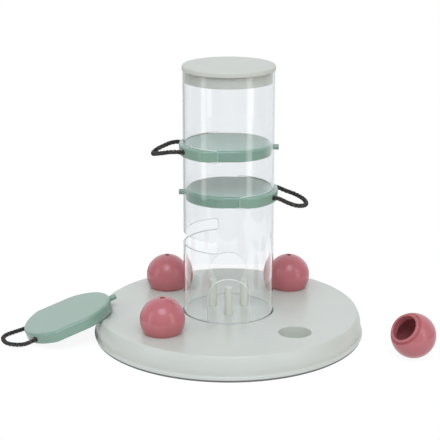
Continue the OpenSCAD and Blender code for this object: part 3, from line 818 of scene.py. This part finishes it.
knots_in_shelf = middle_of("knots_upper") - upper_place.translation
lean_place = Matrix.Translation(middle_of("knots_loose") - lean @ knots_in_shelf) @ lean.to_4x4()
sage_plastic = moulded_plastic("sage_moulded_plastic", colour=(0.235, 0.36, 0.283),
                               roughness=0.15)
shelf_places = {"upper": upper_place, "middle": middle_place, "loose": lean_place}
shelf_bodies = {"upper": "upper_shelf", "middle": "middle_shelf", "loose": "leaning_shelf"}
for level, place in shelf_places.items():
    piece(level + "_tray", shelf_mesh.copy(), sage_plastic, shelf_bodies[level], "shelf_plastic",
          "shelf_" + level, place=place)


# Cord loops: black braided polyester, threaded through the two holes of each grip and kept in
# by a stopper knot under the shelf. Each loop is a fixed mesh along a listed route that droops as a
# limp cord would.
def braided_polyester():
    """Black yarn with a soft sheen, and pale brownish flecks painted into its colour as glints
    where single threads would catch the light.
    """
    painted_glint_size, thread = 1.2 * mm, 0.2 * mm
    thread_strength, thread_depth = 0.4, 0.08 * mm
    material = bpy.data.materials.new("braided_polyester")
    material.use_nodes = True
    nodes, links = material.node_tree.nodes, material.node_tree.links
    shader = nodes["Principled BSDF"]
    shader.inputs["Roughness"].default_value = 0.42
    shader.inputs["Sheen Weight"].default_value = 0.1
    # Painted glints: the ramp mixes the black yarn with pale brown specks at random spots, which
    # stand for light caught by single threads.
    yarn_and_painted_glints = nodes.new("ShaderNodeValToRGB")
    yarn_and_painted_glints.color_ramp.elements[0].position = 0.54
    yarn_and_painted_glints.color_ramp.elements[0].color = (0.009, 0.009, 0.009, 1)
    yarn_and_painted_glints.color_ramp.elements[1].position = 0.74
    yarn_and_painted_glints.color_ramp.elements[1].color = (0.22, 0.175, 0.13, 1)
    links.new(cloudy(material, painted_glint_size, detail=2), yarn_and_painted_glints.inputs["Fac"])
    links.new(yarn_and_painted_glints.outputs["Color"], shader.inputs["Base Color"])
    raised(material, cloudy(material, thread, detail=2), thread_strength, thread_depth)
    return material


def smooth_line(points, step):
    """Even points along a smooth curve through the given ones."""
    parts = 16
    ends = [2 * points[0] - points[1], *points, 2 * points[-1] - points[-2]]
    dense = []
    for a, b, c, d in zip(ends, ends[1:], ends[2:], ends[3:]):
        for k in range(parts):
            t = k / parts
            dense.append(0.5 * (2 * b + (c - a) * t + (2 * a - 5 * b + 4 * c - d) * t ** 2
                                + (3 * b - a - 3 * c + d) * t ** 3))
    dense.append(points[-1])
    runs = [(q - p).length for p, q in zip(dense, dense[1:])]
    total = sum(runs)
    count = math.ceil(total / step)
    line, passed, i = [], 0, 0
    for k in range(count + 1):
        want = total * k / count
        while i < len(runs) - 1 and passed + runs[i] < want:
            passed += runs[i]
            i += 1
        line.append(dense[i].lerp(dense[i + 1], min(1, (want - passed) / runs[i])))
    return line


def frames_along(line):
    """Two directions square to the line at each point, turning no more than the line does."""
    up = Vector((0, 0, 1))
    frames = []
    for i in range(len(line)):
        along = (line[min(i + 1, len(line) - 1)] - line[max(i - 1, 0)]).normalized()
        side = along.cross(up).normalized()
        up = side.cross(along).normalized()
        frames.append((side, up))
    return frames


round_turns = [math.radians(45 * k) for k in range(8)]


def swept(shape, rings):
    """A closed tube through rings of points."""
    rings = [[shape.verts.new(p) for p in ring] for ring in rings]
    count = len(rings[0])
    for one, two in zip(rings, rings[1:]):
        for k in range(count):
            shape.faces.new([one[k], one[(k + 1) % count], two[(k + 1) % count], two[k]])
    shape.faces.new(rings[0][::-1])
    shape.faces.new(rings[-1])


def braid(name, route):
    """Braided cord along a route: two sets of flat strands, over and under, round a core."""
    carriers, lay = 4, 15 * mm
    strand_half, strand_thick, weave = 0.9 * mm, 0.5 * mm, 0.32 * mm
    points_per_crossing = 6
    line = smooth_line(route, lay / (carriers * 2) / points_per_crossing)
    frames = frames_along(line)
    step = (line[1] - line[0]).length
    middle_r = cord_r - strand_thick - weave
    shape = bmesh.new()
    swept(shape, [[p + (side * math.cos(a) + up * math.sin(a)) * middle_r for a in round_turns]
                  for p, (side, up) in zip(line[::3], frames[::3])])
    for hand in (1, -1):
        for k in range(carriers):
            rings = []
            for i, (p, (side, up)) in enumerate(zip(line, frames)):
                along = side.cross(up)
                turn = hand * 2 * math.pi * (i * step / lay + k / carriers)
                out = side * math.cos(turn) + up * math.sin(turn)
                over = up * math.cos(turn) - side * math.sin(turn)
                radius = middle_r + hand * weave * math.cos(2 * math.pi * carriers * i * step / lay)
                across = (over * lay - along * hand * 2 * math.pi * radius).normalized()
                rings.append([p + out * (radius + strand_thick * math.sin(a))
                              + across * strand_half * math.cos(a) for a in round_turns])
            swept(shape, rings)
    return meshed(name, shape), line


def knot_pair(name):
    """A coiled stopper knot on each end of the cord, in the shelf's own frame."""
    knots_low, knots_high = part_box("knots_upper")
    coil_r = 1.25 * mm
    coil_turns, coil_steps = 2.5, 72
    knot_r = (knots_high.z - knots_low.z) / 2
    start, length = knots_low.x, knots_high.x - knots_low.x
    shape = bmesh.new()
    for side_y in (-cord_y, cord_y):
        centre = Vector((0, side_y, -cord_drop))
        line = []
        for k in range(coil_steps + 1):
            turn = 2 * math.pi * coil_turns * k / coil_steps
            x = start + coil_r + (length - 2 * coil_r) * k / coil_steps
            line.append(centre + Vector((x, (knot_r - coil_r) * math.cos(turn),
                                         (knot_r - coil_r) * math.sin(turn))))
        swept(shape, [[p + (side * math.cos(a) + up * math.sin(a)) * coil_r for a in round_turns]
                      for p, (side, up) in zip(line, frames_along(line))])
    return meshed(name, shape)


# Points along the middle of each cord from one hole round to the other, in millimetres, as seen
# with the shelf flat and its grip toward the left.
cord_ends = [(-35.4, 20, -0.4), (-41, 20, -0.4)]
cord_loops = {
    "upper": [(-46, 20.2, 0), (-50, 19.6, -0.2), (-54, 18, -0.8), (-58, 15.4, -2),
              (-62, 12.2, -3.2), (-65.5, 8.5, -4.4), (-67.6, 4.4, -5.4), (-68.3, 0, -5.8),
              (-67.6, -4.4, -5.4), (-65.5, -8.5, -4.4), (-62, -12.2, -3.2), (-58, -15.4, -2),
              (-54, -18, -0.8), (-50, -19.6, -0.2), (-46, -20.2, 0)],
    "middle": [(-45.5, 20.2, -1.2), (-49.5, 20.6, -3), (-53, 20.8, -4.6), (-57, 21, -6.1),
               (-60.5, 20.4, -7.3), (-64, 18, -8.4), (-67.5, 13.6, -9.4), (-70, 7.6, -10.1),
               (-71, 0, -10.4), (-70, -7.6, -10.1), (-67.5, -13.6, -9.4), (-64, -18, -8.4),
               (-60.5, -20.4, -7.3), (-57, -21, -6.1), (-53, -20.8, -4.6), (-49.5, -20.6, -3),
               (-45.5, -20.2, -1.2)],
    "loose": [(-45, 19.9, -0.2), (-49, 19.6, 0.3), (-53, 18.9, 0.9), (-57, 17.3, 1.8),
              (-60.6, 14.6, 2.8), (-63.6, 10.6, 3.5), (-65.6, 5.4, 4), (-66, 0, 3.9),
              (-65.4, -4.9, 3.3), (-63.4, -9.4, 2.2), (-60.2, -13, 1.1), (-56.4, -15.7, -0.1),
              (-52, -17.6, -1.1), (-48, -18.9, -1.2), (-44.5, -19.8, -0.9)]}
black_braid = braided_polyester()
for level, loop in cord_loops.items():
    far_ends = [(x, -y, z) for x, y, z in reversed(cord_ends)]
    route = [Vector(p) * mm for p in [*cord_ends, *loop, *far_ends]]
    place = shelf_places[level]
    cord_mesh, line = braid(level + "_cord", route)
    line = [place @ p for p in line]
    knots = piece(level + "_knots", knot_pair(level + "_knots"), black_braid, shelf_bodies[level],
                  "cord_braid", "knots_" + level, place=place, flat_turn=80)
    cord = piece(level + "_cord_loop", cord_mesh, black_braid, shelf_bodies[level], "cord_braid",
                 "cord_" + level, place=place, flat_turn=80)


# Lid: a shallow domed cap in the base's plastic, given a darker copy of that plastic as painted
# shade, so that its top shows no brighter than the base's.
# Its hollow plug is pushed into the tube's mouth and shows through the clear wall as a band.
lid_low, lid_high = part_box("lid")
lid_r = lid_high.x
lid_rim = tube_high.z
plug_gap = 0.3 * mm
plug_r = inner_r - plug_gap
lid_wall = 2 * mm
lid_t = 4.5 * mm
dome = lid_high.z - lid_rim - lid_t
dome_r = (lid_r ** 2 + dome ** 2) / (2 * dome)
lid_edge_r, lid_foot_r, plug_edge_r, lid_roof_r = 1.8 * mm, 0.4 * mm, 0.5 * mm, 0.8 * mm
dome_points = []
dome_steps = 12
for k in range(dome_steps + 1):
    across = (lid_r - lid_edge_r) * k / dome_steps
    dome_points.append((across, lid_high.z - dome_r + math.sqrt(dome_r ** 2 - across ** 2), 0))
lid_roof = lid_rim + lid_t - lid_wall
lid_outline = rounded([
    *dome_points[:-1], (lid_r, dome_points[-1][1], lid_edge_r), (lid_r, lid_rim, lid_foot_r),
    (plug_r, lid_rim, 0), (plug_r, lid_low.z, plug_edge_r),
    (plug_r - lid_wall, lid_low.z, plug_edge_r), (plug_r - lid_wall, lid_roof, lid_roof_r),
    (0, lid_roof, 0)])
# The base's pale plastic with a darker colour painted in as shade, so that the lid, which stands
# nearer the top lamp, does not show brighter than the base.
lid_plastic = moulded_plastic("lid_shaded_moulded_plastic", colour=(0.575, 0.585, 0.52), roughness=0.45)
piece("push_in_lid", turned("push_in_lid", lid_outline, turns=160), lid_plastic, "cover",
      "lid_plastic", "lid")


# Treat balls: hollow dusty rose shells with a vent in the crown, each with a separate neck that
# snaps into the seat by a bead. Three stand neck-down in the base and one lies on the floor.
ball_low, ball_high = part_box("ball_front_left")
ball_r = (ball_high.x - ball_low.x) / 2
seat_drop = 12.3 * mm
ball_wall = 2.2 * mm
vent_r = 2.35 * mm
neck_r = 14 * mm
neck_bore_r = 11.8 * mm
neck_h = 3.4 * mm
sleeve_wall = 0.65 * mm
seat_gap = 0.15 * mm
sleeve_r = neck_bore_r + sleeve_wall
seat_bore_r = sleeve_r + seat_gap
bead_z = ball_wall - seat_drop + seat_gap
bead_out, bead_h = 0.65 * mm, 1.6 * mm
vent_edge_r, seat_rim_r, seat_bore_edge_r = 0.35 * mm, 0.5 * mm, 0.2 * mm
neck_lip_r, neck_edge_r, neck_root_r, sleeve_edge_r = 0.5 * mm, 0.7 * mm, 0.15 * mm, 0.3 * mm


def bowl(radius, first, last, steps=40):
    """Points of a sphere's section between two turns, measured down from the crown."""
    turns = [first + (last - first) * k / steps for k in range(steps + 1)]
    return [(radius * math.sin(a), radius * math.cos(a), 0) for a in turns]


inner_ball_r = ball_r - ball_wall
seat_ceiling = ball_wall - seat_drop
outer_bowl = bowl(ball_r, math.asin(vent_r / ball_r), math.acos(-seat_drop / ball_r))
inner_bowl = bowl(inner_ball_r, math.acos(seat_ceiling / inner_ball_r),
                  math.asin(vent_r / inner_ball_r))
vent_edge, seat_edge = outer_bowl[0], outer_bowl[-1]
ball_outline = rounded([
    (*vent_edge[:2], vent_edge_r), *outer_bowl[1:-1], (*seat_edge[:2], seat_rim_r),
    (seat_bore_r, -seat_drop, seat_bore_edge_r), (seat_bore_r, seat_ceiling, seat_bore_edge_r),
    *inner_bowl])
ball_mesh = turned("treat_ball", ball_outline, turns=96)
collar_outline = rounded([
    (neck_bore_r, -seat_drop - neck_h, neck_lip_r), (neck_r, -seat_drop - neck_h, neck_edge_r),
    (neck_r, -seat_drop, neck_root_r), (sleeve_r, -seat_drop, 0), (sleeve_r, bead_z, 0),
    (sleeve_r + bead_out, bead_z, 0), (sleeve_r, bead_z + bead_h, 0),
    (neck_bore_r, bead_z + bead_h, sleeve_edge_r)])
collar_mesh = turned("ball_neck", collar_outline, turns=96)

floor_low, floor_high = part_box("ball_loose")
floor_turn, floor_tip = math.radians(217), math.radians(50)
ball_places = {"loose": Matrix.Translation((floor_high.x - ball_r, floor_high.y - ball_r,
                                            floor_low.z + ball_r))
               @ Matrix.Rotation(floor_turn, 4, "Z") @ Matrix.Rotation(floor_tip, 4, "Y")
               @ Matrix.Rotation(math.pi, 4, "X")}
ball_bodies = {"loose": "floor_ball"}
for spot in ("front_left", "back_left", "back_right"):
    low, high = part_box("ball_" + spot)
    ball_places[spot] = Matrix.Translation(((low.x + high.x) / 2, (low.y + high.y) / 2,
                                            low.z + seat_drop))
    ball_bodies[spot] = spot + "_ball"
rose_plastic = moulded_plastic("rose_moulded_plastic", colour=(0.49, 0.147, 0.162),
                               roughness=0.21)
for spot, place in ball_places.items():
    piece(spot + "_treat_ball", ball_mesh.copy(), rose_plastic, ball_bodies[spot], "ball_plastic",
          "ball_" + spot, place=place)
    piece(spot + "_ball_neck", collar_mesh.copy(), rose_plastic, ball_bodies[spot], "ball_plastic",
          "collar_" + spot, place=place)
